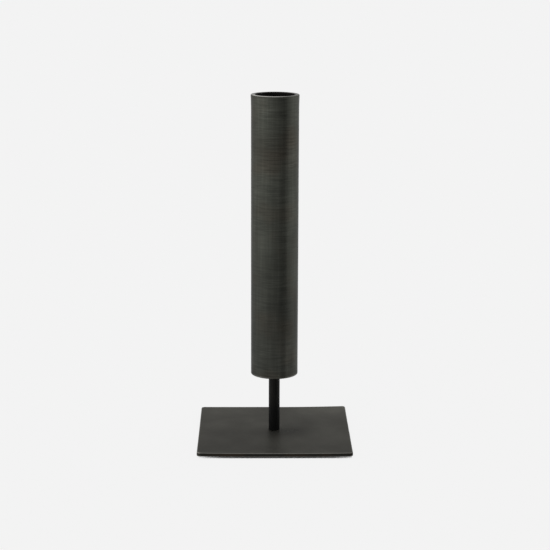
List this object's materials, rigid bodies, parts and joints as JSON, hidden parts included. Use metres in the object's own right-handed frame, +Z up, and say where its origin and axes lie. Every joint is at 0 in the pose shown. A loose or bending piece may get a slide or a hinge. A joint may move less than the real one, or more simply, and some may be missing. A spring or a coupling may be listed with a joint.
{
  "type": "taper candle holder",
  "caption": "Slim upright steel tube on a thin rod and a square plate with felt pads underneath; the open mouth holds a dinner candle.",
  "frame": {"origin": "middle of the footprint, at the felt pads' underside, on the tube's axis", "axes": "+Z up along the tube, +X and +Y square to the base plate's edges, with -Y as the front"},
  "size_m": [0.0872, 0.0872, 0.1978],
  "materials": {
    "tube_patina": "dark olive grey patina, brushed around the tube, satin",
    "base_patina": "warm dark grey patina, satin",
    "inner_steel": "dark steel, matte",
    "fasteners": "zinc plated, satin",
    "felt": "black felt, matte"
  },
  "bodies": {
    "root": {"tube": "tube_patina", "candle_seat": "inner_steel", "tube_end_cap": "tube_patina", "cap_washer": "fasteners", "cap_screw": "fasteners", "stem": "base_patina", "base_plate": "base_patina", "base_screw": "fasteners", "felt_pad_front_left": "felt", "felt_pad_front_right": "felt", "felt_pad_back_left": "felt", "felt_pad_back_right": "felt"}
  },
  "joints": []
}
